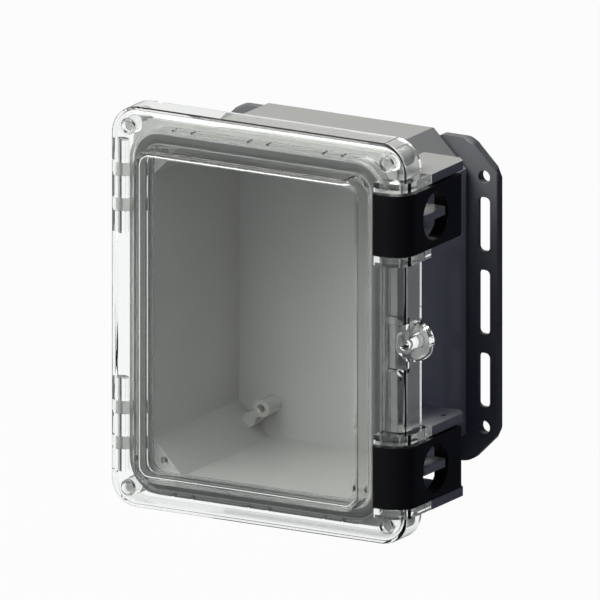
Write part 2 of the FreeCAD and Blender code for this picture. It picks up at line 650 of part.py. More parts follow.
    # Corner screw positions: a ring on the rim and a blind recess
    columns = draw_corners(body, f"({RIM} + seat_gap)", SCREW_X, SCREW_Z, "screw_ring_radius")
    pad(body, columns, f"{COVER_FRONT} - {RIM}")
    recess_floor = f"({COVER_FRONT} - screw_recess_depth)"
    recesses = draw_corners(body, recess_floor, SCREW_X, SCREW_Z, "screw_recess_radius")
    pocket(body, recesses, "screw_recess_depth + 2 * seat_gap")

    # Pairs of small notches in the outer rib of the gasket groove
    nicks = new_sketch(body, "XZ_Plane", f"({GROOVE_BACK} - seat_gap)")
    outer = f"({GROOVE_Z} + seat_gap)"
    inner = f"({GROOVE_Z} - groove_rib / 2)"
    for step in (-1, 0, 1):
        for half in (-0.5, 0.5):
            start = f"({step} * notch_pitch + {half} * notch_pair - notch_wide / 2)"
            stop = f"({start} + notch_wide)"
            for end in (1, -1):
                draw_outline(nicks, [(start, f"{end} * {outer}"), (stop, f"{end} * {outer}"),
                                     (stop, f"{end} * {inner}"), (start, f"{end} * {inner}")])
    pocket(body, nicks, f"{rib_long} + seat_gap")
    return body


def build_gasket():
    """Foam seal poured into the cover's groove."""
    body = new_body("cover_gasket")
    ring = new_sketch(body, "XZ_Plane", GASKET_BACK)
    draw_rounded(ring, "0", "0", f"({GROOVE_X} - groove_rib)", f"({GROOVE_Z} - groove_rib)",
                 "window_corner + groove_span - groove_rib")
    draw_rounded(ring, "0", "0", WINDOW_X, WINDOW_Z, "window_corner")
    pad(body, ring, "gasket_thick")
    return body


def build_latch(label, end):
    """Wrap-round latch: a barrel at the back, a side with a finger hole and a hook over the rim."""
    body = new_body(label)
    low = f"({end} * latch_middle - latch_height / 2)"
    inner_x = f"({LATCH_X} - latch_wall)"
    inner_front = f"({LATCH_FRONT} - latch_wall)"
    outline = [
        (LATCH_X, "latch_rear_depth"),
        (LATCH_X, LATCH_FRONT),
        (LATCH_END_X, LATCH_FRONT),
        (LATCH_END_X, inner_front),
        (inner_x, inner_front),
        (inner_x, "latch_pivot_depth"),
        (PIVOT_X, "latch_pivot_depth"),
        (PIVOT_X, "latch_rear_depth"),
    ]
    slab(body, outline, low, f"({low} + latch_height)")
    round_edges(body, "latch_round", upright_edge_at(LATCH_X, LATCH_FRONT))
    round_edges(body, "latch_round - latch_wall", upright_edge_at(inner_x, inner_front))
    round_edges(body, "latch_wall / 4", upright_edge_at(LATCH_END_X, LATCH_FRONT))
    barrel = new_sketch(body, "XY_Plane", low)
    draw_circle(barrel, PIVOT_X, "-latch_pivot_depth", "latch_barrel")
    pad(body, barrel, "latch_height")
    bore = new_sketch(body, "XY_Plane", low)
    draw_circle(bore, PIVOT_X, "-latch_pivot_depth", "latch_pin_radius + running_gap")
    pocket(body, bore, "latch_height")
    hole = new_sketch(body, "YZ_Plane", f"({PIVOT_X} - latch_barrel)")
    draw_circle(hole, "-finger_hole_depth", f"{end} * latch_middle", "finger_hole_radius")
    pocket(body, hole, "latch_barrel + latch_pivot_in + seat_gap")
    return body


def build_bracket(label, side):
    """Mounting bracket: a plate with a deep rim, two bolt holes and three slots."""
    body = new_body(label)
    inner = f"{side} * bracket_inner"
    outer = f"{side} * {BRACKET_X}"
    cut_x = f"{side} * ({BRACKET_X} - bracket_cut)"
    plate = new_sketch(body, "XZ_Plane", "0")
    draw_outline(plate, [
        (inner, f"-{BRACKET_Z}"), (cut_x, f"-{BRACKET_Z}"),
        (outer, f"-({BRACKET_Z} - bracket_cut)"), (outer, f"({BRACKET_Z} - bracket_cut)"),
        (cut_x, BRACKET_Z), (inner, BRACKET_Z),
    ])
    pad(body, plate, "bracket_depth")
    inner_x = value(inner)
    round_edges(body, "bracket_inner_round", lambda edge: (
        all(near(v.X, inner_x) for v in edge.Vertexes) and near(edge.Vertexes[0].Z, edge.Vertexes[1].Z)))
    rim = "bracket_wall"
    slant = f"({rim} * {math.sqrt(2) - 1:.4f})"
    inner_in = f"{side} * (bracket_inner + {rim})"
    outer_in = f"{side} * ({BRACKET_X} - {rim})"
    cut_in = f"{side} * ({BRACKET_X} - bracket_cut - {slant})"
    hollow = new_sketch(body, "XZ_Plane", "0")
    draw_outline(hollow, [
        (inner_in, f"-({BRACKET_Z} - {rim})"), (cut_in, f"-({BRACKET_Z} - {rim})"),
        (outer_in, f"-({BRACKET_Z} - bracket_cut - {slant})"), (outer_in, f"({BRACKET_Z} - bracket_cut - {slant})"),
        (cut_in, f"({BRACKET_Z} - {rim})"), (inner_in, f"({BRACKET_Z} - {rim})"),
    ])
    pocket(body, hollow, "bracket_depth - bracket_wall")
    collars = new_sketch(body, "XZ_Plane", "0")
    holes = new_sketch(body, "XZ_Plane", "0")
    for end in (1, -1):
        draw_circle(collars, f"{side} * {BOLT_X}", f"{end} * bolt_spacing / 2", "bolt_radius + bolt_collar")
        draw_circle(holes, f"{side} * {BOLT_X}", f"{end} * bolt_spacing / 2", "bolt_radius")
        draw_circle(holes, f"{side} * {BRACKET_SCREW_X}", f"{end} * bracket_screw_end", "bracket_screw_radius")
    for middle, length in (("slot_end_middle", "slot_end_long"), ("0", "slot_mid_long"),
                           ("-slot_end_middle", "slot_end_long")):
        draw_rounded(holes, f"{side} * {BOLT_X}", middle, "bolt_radius", f"({length} / 2)", "slot_round")
    pad(body, collars, "bracket_depth - bracket_wall")
    pocket(body, holes, "bracket_depth")
    front = -value("bracket_depth")
    cavity = value("cavity_width") / 2 + value("side_wall")
    round_edges(body, "bracket_edge_round", lambda edge: (
        all(near(v.Y, front) for v in edge.Vertexes)
        and edge.BoundBox.ZLength > value("bracket_cut") - 1
        and abs(edge.CenterOfMass.x) > cavity + value("side_wall")
        and not abs(edge.BoundBox.XMax + edge.BoundBox.XMin) / 2 < value(BOLT_X) + value("bolt_radius") + 0.5))
    return body


def build_insert(label, x, z, bore, length, front):
    """Threaded insert: a tube with one groove round its waist."""
    body = new_body(label)
    start = f"({front} - {length})"
    tube = new_sketch(body, "XZ_Plane", start)
    draw_circle(tube, x, z, f"{bore} + insert_wall")
    draw_circle(tube, x, z, bore)
    pad(body, tube, length)
    waist = new_sketch(body, "XZ_Plane", f"({start} + {length} / 2 - insert_groove_wide / 2)")
    draw_circle(waist, x, z, f"{bore} + insert_wall + insert_groove_deep")
    draw_circle(waist, x, z, f"{bore} + insert_wall - insert_groove_deep")
    pocket(body, waist, "insert_groove_wide")
    return body


def build_pin(label, x, depth, radius, low, high):
    """Plain pin standing upright."""
    pin = doc.addObject("Part::Cylinder", label)
    pin.Label = label
    pin.setExpression("Radius", cells(radius))
    pin.setExpression("Height", cells(f"{high} - {low}"))
    pin.setExpression("Placement.Base.x", cells(x))
    pin.setExpression("Placement.Base.y", cells(f"-{depth}"))
    pin.setExpression("Placement.Base.z", cells(low))
    return pin


def build_screw(label, x, z):
    """Socket-head screw that holds a bracket to the back of the base."""
    body = new_body(label)
    head_start = "(bracket_depth - bracket_wall - bracket_screw_head_thick)"
    head = new_sketch(body, "XZ_Plane", head_start)
    draw_circle(head, x, z, "bracket_screw_head")
    pad(body, head, "bracket_screw_head_thick")
    shank = new_sketch(body, "XZ_Plane", "(bracket_depth - bracket_wall)")
    draw_circle(shank, x, z, "bracket_screw_radius")
    pad(body, shank, "bracket_screw_long")
    socket = new_sketch(body, "XZ_Plane", head_start)
    corners = []
    for turn in range(6):
        angle = turn * math.pi / 3
        corners.append((f"({x} + bracket_screw_socket * {math.cos(angle):.4f})",
                        f"({z} + bracket_screw_socket * {math.sin(angle):.4f})"))
    draw_outline(socket, corners)
    pocket(body, socket, "bracket_screw_socket_deep")
    return body


def build_all():
    """Every piece of the enclosure, each with the label that names its file."""
    pieces = [build_base(), build_cover(), build_gasket()]
    for word, end in (("upper", 1), ("lower", -1)):
        pieces.append(build_latch(f"latch_{word}", end))
        low = f"(latch_middle - {BAY_HALF} - plate_thick)"
        high = f"(latch_middle + {BAY_HALF} + plate_thick / 2)"
        if end < 0:
            low, high = f"(-{high})", f"(-{low})"
        pieces.append(build_pin(f"latch_pin_{word}", PIVOT_X, "latch_pivot_depth", "latch_pin_radius", low, high))
        reach = "(hinge_pitch + cover_knuckle_long / 2)"
        middle = f"({end} * hinge_middle)"
        pieces.append(build_pin(f"hinge_pin_{word}", HINGE_X, HINGE_DEPTH, "hinge_pin_radius",
                                f"({middle} - {reach})", f"({middle} + {reach})"))
    for word, side in (("left", -1), ("right", 1)):
        pieces.append(build_bracket(f"mounting_bracket_{word}", side))
    for side, end in CORNERS:
        place = f"{'upper' if end > 0 else 'lower'}_{'right' if side > 0 else 'left'}"
        pieces.append(build_screw(f"bracket_screw_{place}", f"({side} * {BRACKET_SCREW_X})",
                                  f"({end} * bracket_screw_end)"))
        pieces.append(build_insert(f"panel_insert_{place}", f"({side} * panel_boss_side)",
                                   f"({end} * panel_boss_end)", "panel_insert_bore", "panel_insert_long",
                                   f"({FLOOR} + panel_boss_long)"))
        pieces.append(build_insert(f"swing_insert_{place}", f"({side} * {SWING_X})", f"({end} * {SWING_Z})",
                                   "swing_insert_bore", "swing_insert_long", f"({RIM} - swing_boss_drop)"))
    return pieces


def check_and_write(pieces):
    """Stop on any failed object or bad shape, then write one file for each piece."""
    for piece in pieces:
        if piece.TypeId == "PartDesign::Body":
            piece.Tip.Refine = True
    doc.recompute()
    for item in doc.Objects:
        if "Invalid" in item.State or "Error" in item.State:
            raise RuntimeError(f"{item.Label} failed: {item.State}")
    for piece in pieces:
        shape = piece.Shape
        if shape.isNull() or not shape.isValid() or len(shape.Solids) != 1:
            raise RuntimeError(f"{piece.Label} is not one valid solid")
    os.makedirs("parts", exist_ok=True)
    for piece in pieces:
        piece.Shape.exportStep(f"parts/{piece.Label}.step")
        box = piece.Shape.BoundBox
        print(f"{piece.Label}: {piece.Shape.Volume:.1f} mm3, X {box.XMin:.2f} {box.XMax:.2f}, "
              f"Y {box.YMin:.2f} {box.YMax:.2f}, Z {box.ZMin:.2f} {box.ZMax:.2f}")


check_and_write(build_all())
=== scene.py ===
"""Looks of a hinged enclosure with a clear raised cover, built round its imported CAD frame."""

import json
import math

import bmesh
import bpy
from bpy.props import FloatProperty, FloatVectorProperty, IntProperty, PointerProperty
from mathutils import Matrix, Vector

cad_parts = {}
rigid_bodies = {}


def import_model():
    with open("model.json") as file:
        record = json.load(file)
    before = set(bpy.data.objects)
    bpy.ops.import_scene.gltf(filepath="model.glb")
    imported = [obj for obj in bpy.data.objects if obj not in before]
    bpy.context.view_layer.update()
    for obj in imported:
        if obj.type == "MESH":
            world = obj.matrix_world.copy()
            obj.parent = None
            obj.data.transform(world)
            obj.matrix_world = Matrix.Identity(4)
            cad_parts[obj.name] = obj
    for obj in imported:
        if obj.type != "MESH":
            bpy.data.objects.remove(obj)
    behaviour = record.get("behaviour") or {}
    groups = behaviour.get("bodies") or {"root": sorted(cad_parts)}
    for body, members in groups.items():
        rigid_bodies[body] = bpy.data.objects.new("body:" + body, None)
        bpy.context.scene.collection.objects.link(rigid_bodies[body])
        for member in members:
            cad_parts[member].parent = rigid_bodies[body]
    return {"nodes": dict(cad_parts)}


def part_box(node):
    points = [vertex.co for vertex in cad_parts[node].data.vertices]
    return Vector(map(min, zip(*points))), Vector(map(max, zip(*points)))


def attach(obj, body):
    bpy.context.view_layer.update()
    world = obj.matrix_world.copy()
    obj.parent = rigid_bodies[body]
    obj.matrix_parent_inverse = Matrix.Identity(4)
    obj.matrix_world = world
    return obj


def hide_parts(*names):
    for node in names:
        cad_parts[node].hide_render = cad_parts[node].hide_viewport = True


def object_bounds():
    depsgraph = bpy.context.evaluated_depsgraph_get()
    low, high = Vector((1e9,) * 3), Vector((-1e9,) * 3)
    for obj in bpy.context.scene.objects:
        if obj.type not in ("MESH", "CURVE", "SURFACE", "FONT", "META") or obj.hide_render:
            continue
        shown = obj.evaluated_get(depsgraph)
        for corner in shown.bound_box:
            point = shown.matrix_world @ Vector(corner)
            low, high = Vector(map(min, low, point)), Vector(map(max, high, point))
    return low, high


bl_info = {
    "name": "Clear-Cover Enclosure",
    "version": (1, 0, 0),
    "blender": (4, 5, 0),
    "location": "View3D > Sidebar > Enclosure",
    "description": "Finishes, small hardware and stage for a hinged wall enclosure",
    "category": "Object",
}

for leftover in list(bpy.data.objects):
    bpy.data.objects.remove(leftover)
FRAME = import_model()
CAD_BOX = [list(corner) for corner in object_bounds()]
NODES = FRAME["nodes"]
SIDES = ("upper_left", "upper_right", "lower_left", "lower_right")

# Metres within which two points are one, and by which an edge may lie off the place where it should be
SAME = 1e-6
NEAR = 1e-4

# Parts of a face's normal along Y from which it lies flat, and up to which it stands upright
FLAT = 0.99
UPRIGHT = 0.05

# Bends in radians that edges are found by: at a bracket's cut-off corners, and all round the seal
CUT_ANGLE = math.radians(45)
CUT_SLACK = 0.1
SEAL_EDGE = math.radians(60)

# Grain of drawn and turned steel, in lines per metre along each axis
UPRIGHT_GRAIN = (9000.0, 9000.0, 250.0)
SCREW_GRAIN = (4000.0, 400.0, 4000.0)
INSERT_GRAIN = (4000.0, 300.0, 4000.0)

# An insert's waist, from end to end: parts of its height, and of the thread's depth that it goes in there
WAIST = ((0.4, 0.0), (0.45, 1.0), (0.55, 1.0), (0.6, 0.0))

# Part of the thread's depth that is cut in an insert's bore
BORE_THREAD = 0.8

# Lamps, by place in metres, and where the studio that gloss mirrors is lit from
LAMP_AIM = (0.0, -0.07, 0.0)
LAMPS = {
    "top": {"place": (-0.3, 0.1, 1.1), "size": 0.8, "tone": (1.0, 1.0, 0.97)},
    "front": {"place": (-0.25, -1.49, 0.39), "size": 0.9, "tone": (1.0, 1.0, 1.0)},
    "key": {"place": (-0.52, -0.98, 1.24), "size": 1.4, "tone": (1.0, 1.0, 0.96)},
}
LIT_SIDE = (-1.0, 0.0, 1.0)

# Metres from the enclosure's lowest point down to the floor
FLOOR_DROP = 0.0003

# Times that a ray may bounce or pass a surface, enough for the walls of the clear cover
LIGHT_BOUNCES = 32


def colour(name, about, default):
    """A colour that the user may change."""
    return FloatVectorProperty(name=name, description=about, default=default, subtype="COLOR",
                               size=3, min=0.0, max=1.0)


def share(name, about, default):
    """A number from 0 to 1."""
    return FloatProperty(name=name, description=about, default=default, min=0.0, max=1.0, subtype="FACTOR")


def length(name, about, default):
    """A length in metres."""
    return FloatProperty(name=name, description=about, default=default, min=0.0, unit="LENGTH", precision=5)


def offset(name, about, default):
    """A place on an axis, in metres, which may be negative."""
    return FloatProperty(name=name, description=about, default=default, unit="LENGTH", precision=5)


def angle(name, about, degrees):
    """An angle, given in degrees."""
    return FloatProperty(name=name, description=about, default=math.radians(degrees), subtype="ANGLE")


def watts(name, about, default):
    """A lamp's power in watts."""
    return FloatProperty(name=name, description=about, default=default, min=0.0, unit="POWER")


def count(name, about, default, least=1):
    """A whole number of steps or copies."""
    return IntProperty(name=name, description=about, default=default, min=least)


class EnclosurePlastics(bpy.types.PropertyGroup):
    """Colours and surfaces of the moulded pieces."""

    base_tone: colour("Base", "Moulded tub with its hinge and latch seats", (0.54, 0.54, 0.52))
    bracket_tone: colour("Brackets", "Slotted wall brackets", (0.21, 0.215, 0.23))
    latch_tone: colour("Latches", "Snap latches", (0.011, 0.011, 0.012))
    cover_tint: colour("Cover tint", "What is left of white light in the clear cover", (0.97, 0.985, 0.98))
    shadow_tint: colour("Cover shadow", "What is left of a lamp's light behind the cover", (0.93, 0.94, 0.94))
    cover_index: FloatProperty(name="Cover index", description="Refraction of the clear cover",
                               default=1.45, min=1.0, max=2.0)
    base_roughness: share("Base roughness", "Gloss of the tub", 0.13)
    bracket_roughness: share("Bracket roughness", "Satin of the brackets", 0.28)
    latch_roughness: share("Latch roughness", "Satin of the latches", 0.22)
    cover_roughness: share("Cover roughness", "Polish of the cover", 0.012)
    grain_size: length("Grain", "Width of the spark texture's cells", 0.00045)
    grain_height: length("Grain depth", "Height of the spark texture", 0.00002)


class EnclosureRounds(bpy.types.PropertyGroup):
    """Rounds that the solids leave out, and the sizes of the cover that its own go by."""

    wall: length("Wall", "Thickness of the cover", 0.003)
    flange_front: length("Flange", "From the wall to the front of the flange", 0.1219)
    corner: length("Corner", "Outer radius of the flange's corners", 0.017)
    flange_round: length("Flange round", "Round between the flange and the skirt", 0.0024)
    window_half_width: length("Window half width", "Half the width of the raised window", 0.0763)
    window_half_height: length("Window half height", "Half the height of the raised window", 0.1011)
    window_corner: length("Window corner", "Outer radius of the window's corners", 0.01)
    window_round: length("Window round", "Round behind the window's edge", 0.0015)
    cover_steps: count("Cover steps", "Steps across each of the cover's rounds", 5)
    bracket_corner: length("Bracket corner", "How far a bracket's rounds reach from its corners", 0.004)
    bracket_steps: count("Bracket steps", "Steps across each of a bracket's rounds", 6)


class EnclosureHardware(bpy.types.PropertyGroup):
    """Sizes of the small metal pieces and the seal."""

    knurl_depth: length("Knurl depth", "Depth of the knurls round a screw's head", 0.00015)
    socket_across: length("Socket", "Half width of a screw's hexagon socket", 0.00155)
    socket_depth: length("Socket depth", "Depth of a screw's hexagon socket", 0.0011)
    thread_pitch: length("Thread pitch", "Rise of one turn of a thread", 0.0008)
    thread_depth: length("Thread depth", "Height of a thread", 0.00035)
    knurl_ribs: count("Knurls", "Ribs round a screw's head, a multiple of 3", 36, least=12)
    insert_facets: count("Insert facets", "Facets round a threaded insert", 40, least=12)
    seal_crown: length("Seal crown", "Round along the edges of the seal", 0.0013)
    seal_crown_steps: count("Seal crown steps", "Steps across each of the seal's rounds", 4)
    seal_corner_steps: count("Seal corners", "Steps in each corner of the seal", 10, least=2)
    foam_tone: colour("Foam", "Poured seal", (0.5, 0.5, 0.5))
    steel_tone: colour("Steel", "Pins and screws", (0.58, 0.58, 0.59))
    insert_tone: colour("Inserts", "Moulded-in nickelled inserts", (0.62, 0.60, 0.55))
    pin_roughness: share("Pin roughness", "Polish of the hinge and latch pins", 0.28)
    screw_roughness: share("Screw roughness", "Polish of the bracket screws", 0.3)
    insert_roughness: share("Insert roughness", "Polish of the threaded inserts", 0.3)


class EnclosureStage(bpy.types.PropertyGroup):
    """Camera, floor, lamps, and the studio that glossy pieces mirror."""

    view_azimuth: angle("Azimuth", "Turn of the camera round the enclosure", 30)
    view_elevation: angle("Elevation", "Height of the camera above the horizon", 15)
    view_width: length("View width", "Width that the camera sees", 0.35294)
    view_right: offset("View right", "Picture centre, to the right of the frame's origin", -0.03497)
    view_up: offset("View up", "Picture centre, above the frame's origin", -0.01148)
    view_distance: length("Camera distance", "From the picture centre to the camera", 2.0)
    floor_tone: colour("Floor", "Floor under its white look, as the light lands on it", (0.2, 0.205, 0.22))
    mirror_tone: colour("Mirrored floor", "Floor as glossy pieces show it", (0.06, 0.063, 0.08))
    sky_tone: colour("Lit side", "Studio at the upper left, as glossy pieces show it", (0.45, 0.45, 0.42))
    shade_tone: colour("Shaded side", "Studio at the lower right, as glossy pieces show it",
                       (0.02, 0.024, 0.04))
    floor_half: length("Floor half width", "Half the side of the floor", 6.0)
    shadow_share: share("Shadow share", "How much of the floor's own light the camera sees", 0.03)
    air_tone: colour("Ambient", "Light from all sides", (0.016, 0.021, 0.056))
    top_power: watts("Top lamp", "Power of the soft lamp above", 2.0)
    front_power: watts("Front lamp", "Power of the soft lamp before the window", 1.3)
    key_power: watts("Key lamp", "Power of the large soft lamp at the upper left front", 26.0)


def settings(group):
    """One group of this scene's values."""
    return getattr(bpy.context.scene, "enclosure_" + group)


# Node groups and materials


def new_group(name, inputs, outputs):
    """An empty shader node group with float or colour sockets."""
    group = bpy.data.node_groups.new(name, "ShaderNodeTree")
    for label, kind, default in inputs:
        socket = group.interface.new_socket(label, in_out="INPUT", socket_type=kind)
        if default is not None:
            socket.default_value = default
    for label, kind in outputs:
        group.interface.new_socket(label, in_out="OUTPUT", socket_type=kind)
    return group, group.nodes.new("NodeGroupInput"), group.nodes.new("NodeGroupOutput")


def spark_grain():
    """Moulded grain: fine height, and a slow change of roughness and shade."""
    if "Moulded Grain" in bpy.data.node_groups:
        return bpy.data.node_groups["Moulded Grain"]
    group, given, result = new_group(
        "Moulded Grain",
        [("Vector", "NodeSocketVector", None), ("Cell", "NodeSocketFloat", 0.00045),
         ("Colour", "NodeSocketColor", (0.2, 0.2, 0.2, 1.0)), ("Roughness", "NodeSocketFloat", 0.45),
         ("Drift", "NodeSocketFloat", 0.05)],
        [("Colour", "NodeSocketColor"), ("Roughness", "NodeSocketFloat"), ("Height", "NodeSocketFloat")])
    nodes, link = group.nodes, group.links.new
    rate = nodes.new("ShaderNodeMath")
    rate.operation = "DIVIDE"
    rate.inputs[0].default_value = 1.0
    link(given.outputs["Cell"], rate.inputs[1])
    fine = nodes.new("ShaderNodeTexNoise")
    fine.inputs["Detail"].default_value = 3.0
    fine.inputs["Roughness"].default_value = 0.6
    link(given.outputs["Vector"], fine.inputs["Vector"])
    link(rate.outputs[0], fine.inputs["Scale"])
    broad = nodes.new("ShaderNodeTexNoise")
    broad.inputs["Scale"].default_value = 22.0
    broad.inputs["Detail"].default_value = 4.0
    link(given.outputs["Vector"], broad.inputs["Vector"])
    shade = nodes.new("ShaderNodeMapRange")
    link(broad.outputs["Fac"], shade.inputs["Value"])
    shade.inputs["From Min"].default_value = 0.3
    shade.inputs["From Max"].default_value = 0.7
    low, high = nodes.new("ShaderNodeMath"), nodes.new("ShaderNodeMath")
    low.operation, high.operation = "SUBTRACT", "ADD"
    low.inputs[0].default_value = high.inputs[0].default_value = 1.0
    link(given.outputs["Drift"], low.inputs[1])
    link(given.outputs["Drift"], high.inputs[1])
    link(low.outputs[0], shade.inputs["To Min"])
    link(high.outputs[0], shade.inputs["To Max"])
    tone = nodes.new("ShaderNodeVectorMath")
    tone.operation = "SCALE"
    link(given.outputs["Colour"], tone.inputs[0])
    link(shade.outputs["Result"], tone.inputs["Scale"])
    satin = nodes.new("ShaderNodeMath")
    satin.operation = "MULTIPLY"
    link(given.outputs["Roughness"], satin.inputs[0])
    link(shade.outputs["Result"], satin.inputs[1])
    link(tone.outputs["Vector"], result.inputs["Colour"])
    link(satin.outputs[0], result.inputs["Roughness"])
    link(fine.outputs["Fac"], result.inputs["Height"])
    return group


def bare_material(name, tone):
    """A material with a Principled shader, Object coordinates and nothing else."""
    material = bpy.data.materials.new(name)
    material.use_nodes = True
    nodes = material.node_tree.nodes
    shader = next(node for node in nodes if node.type == "BSDF_PRINCIPLED")
    spot = nodes.new("ShaderNodeTexCoord").outputs["Object"]
    material.diffuse_color = (*tone, 1.0)
    return material, shader, spot, material.node_tree.links.new


def moulded(name, tone, roughness, drift, specular=0.25, cell_scale=1.0, strength=0.5):
    """Moulded plastic with spark grain, whose shade and roughness drift a little."""
    plastics = settings("plastics")
    material, shader, spot, link = bare_material(name, tone)
    grain = material.node_tree.nodes.new("ShaderNodeGroup")
    grain.node_tree = spark_grain()
    grain.inputs["Cell"].default_value = plastics.grain_size * cell_scale
    grain.inputs["Colour"].default_value = (*tone, 1.0)
    grain.inputs["Roughness"].default_value = roughness
    grain.inputs["Drift"].default_value = drift
    bump = material.node_tree.nodes.new("ShaderNodeBump")
    bump.inputs["Distance"].default_value = plastics.grain_height
    bump.inputs["Strength"].default_value = strength
    link(spot, grain.inputs["Vector"])
    link(grain.outputs["Colour"], shader.inputs["Base Color"])
    link(grain.outputs["Roughness"], shader.inputs["Roughness"])
    link(grain.outputs["Height"], bump.inputs["Height"])
    link(bump.outputs["Normal"], shader.inputs["Normal"])
    shader.inputs["Specular IOR Level"].default_value = specular
    return material


def clear_polycarbonate(name):
    """Polished clear plastic that lets lamps through to what is behind it."""
    plastics = settings("plastics")
    material, shader, spot, link = bare_material(name, tuple(plastics.cover_tint))
    nodes = material.node_tree.nodes
    flow = nodes.new("ShaderNodeTexNoise")
    flow.inputs["Scale"].default_value = 35.0
    flow.inputs["Detail"].default_value = 2.0
    link(spot, flow.inputs["Vector"])
    polish = nodes.new("ShaderNodeMapRange")
    polish.inputs["To Min"].default_value = plastics.cover_roughness * 0.5
    polish.inputs["To Max"].default_value = plastics.cover_roughness * 1.5
    link(flow.outputs["Fac"], polish.inputs["Value"])
    link(polish.outputs["Result"], shader.inputs["Roughness"])
    shader.inputs["Base Color"].default_value = (*plastics.cover_tint, 1.0)
    shader.inputs["IOR"].default_value = plastics.cover_index
    shader.inputs["Transmission Weight"].default_value = 1.0
    through = nodes.new("ShaderNodeBsdfTransparent")
    through.inputs["Color"].default_value = (*plastics.shadow_tint, 1.0)
    path = nodes.new("ShaderNodeLightPath")
    mix = nodes.new("ShaderNodeMixShader")
    output = next(node for node in nodes if node.type == "OUTPUT_MATERIAL")
    link(path.outputs["Is Shadow Ray"], mix.inputs[0])
    link(shader.outputs["BSDF"], mix.inputs[1])
    link(through.outputs["BSDF"], mix.inputs[2])
    link(mix.outputs["Shader"], output.inputs["Surface"])
    return material


def turned_metal(name, tone, roughness, scale, spread=0.3, groove_shade=0.85):
    """Metal with fine drawn lines, darker and smoother in their grooves."""
    material, shader, spot, link = bare_material(name, tone)
    nodes = material.node_tree.nodes
    stretch = nodes.new("ShaderNodeMapping")
    stretch.inputs["Scale"].default_value = scale
    lines = nodes.new("ShaderNodeTexNoise")
    lines.inputs["Scale"].default_value = 1.0
    lines.inputs["Detail"].default_value = 3.0
    span = nodes.new("ShaderNodeMapRange")
    span.inputs["To Min"].default_value = roughness * (1.0 - spread)
    span.inputs["To Max"].default_value = roughness * (1.0 + spread)
    shade = nodes.new("ShaderNodeMix")
    shade.data_type = "RGBA"
    shade.inputs["A"].default_value = (*[part * groove_shade for part in tone], 1.0)
    shade.inputs["B"].default_value = (*tone, 1.0)
    link(spot, stretch.inputs["Vector"])
    link(stretch.outputs["Vector"], lines.inputs["Vector"])
    link(lines.outputs["Fac"], span.inputs["Value"])
    link(lines.outputs["Fac"], shade.inputs["Factor"])
    link(span.outputs["Result"], shader.inputs["Roughness"])
    link(shade.outputs["Result"], shader.inputs["Base Color"])
    shader.inputs["Metallic"].default_value = 1.0
    return material


def foam(name, tone, painted_pore_shade=0.6):
    """Closed-cell foam with small pores, sunk by a bump and darkened with painted shade."""
    material, shader, spot, link = bare_material(name, tone)
    nodes = material.node_tree.nodes
    pores = nodes.new("ShaderNodeTexVoronoi")
    pores.inputs["Scale"].default_value = 1600.0
    # Painted shade: the tone darkens towards each pore's centre, where the bump below sinks it.
    tint = nodes.new("ShaderNodeMix")
    tint.data_type = "RGBA"
    tint.inputs["A"].default_value = (*[part * painted_pore_shade for part in tone], 1.0)
    tint.inputs["B"].default_value = (*tone, 1.0)
    bump = nodes.new("ShaderNodeBump")
    bump.inputs["Distance"].default_value = 0.0001
    link(spot, pores.inputs["Vector"])
    link(pores.outputs["Distance"], tint.inputs["Factor"])
    link(pores.outputs["Distance"], bump.inputs["Height"])
    link(tint.outputs["Result"], shader.inputs["Base Color"])
    link(bump.outputs["Normal"], shader.inputs["Normal"])
    shader.inputs["Roughness"].default_value = 0.85
    shader.inputs["Sheen Weight"].default_value = 0.1
    return material


# Steps that several pieces share


def dress(names, material):
    """Gives CAD nodes a material in place of their plain one."""
    for name in names:
        for slot in NODES[name].material_slots:
            slot.material = material


def add_piece(name, mesh, material, body, replaced, sharp=35.0):
    """Turns a bmesh into a piece that rides on a body and stands for a CAD node.

    Edges that turn by more than sharp degrees stay sharp.
    """
    bmesh.ops.remove_doubles(mesh, verts=mesh.verts, dist=SAME / 10)
    bmesh.ops.recalc_face_normals(mesh, faces=mesh.faces)
    data = bpy.data.meshes.new(name)
    mesh.to_mesh(data)
    mesh.free()
    data.shade_smooth()
    data.set_sharp_from_angle(angle=math.radians(sharp))
    piece = bpy.data.objects.new(name, data)
    bpy.context.scene.collection.objects.link(piece)
    data.materials.append(material)
    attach(piece, body)
    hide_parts(replaced)
    return piece


def edge_bevel(mesh, edges, reach, segments, clamp=True):
    """Rounds edges of a bmesh."""
    return bmesh.ops.bevel(mesh, geom=edges, offset=reach, offset_type="OFFSET", segments=segments,
                           profile=0.5, affect="EDGES", clamp_overlap=clamp, material=-1)


def exact_copy(solid):
    """A bmesh of a CAD mesh that remembers the solid's own normals."""
    mesh = bmesh.new()
    mesh.from_mesh(solid)
    facing = mesh.loops.layers.float_vector.new("solid_normal")
    kept = mesh.faces.layers.int.new("from_solid")
    for face, polygon in zip(mesh.faces, solid.polygons):
        face[kept] = 1
        for loop, index in zip(face.loops, polygon.loop_indices):
            loop[facing] = solid.corner_normals[index].vector
    bmesh.ops.remove_doubles(mesh, verts=mesh.verts, dist=SAME)
    return mesh


def round_edges(mesh, edges, reach, segments):
    """Rounds edges of an exact copy, and notes the new faces."""
    kept = mesh.faces.layers.int["from_solid"]
    for face in edge_bevel(mesh, edges, reach, segments, clamp=False)["faces"]:
        face[kept] = 0


def keep_normals(data):
    """Shades what came from the solid by its own normals, and the new rounds smooth."""
    facing, kept = data.attributes["solid_normal"].data, data.attributes["from_solid"].data
    data.normals_split_custom_set([
        facing[index].vector.copy() if kept[polygon.index].value else Vector()
        for polygon in data.polygons for index in polygon.loop_indices])
    for name in ("solid_normal", "from_solid"):
        data.attributes.remove(data.attributes[name])


# Operators


class EnclosureStep(bpy.types.Operator):
    """What every step of the enclosure shares."""

    bl_options = {"REGISTER", "UNDO"}


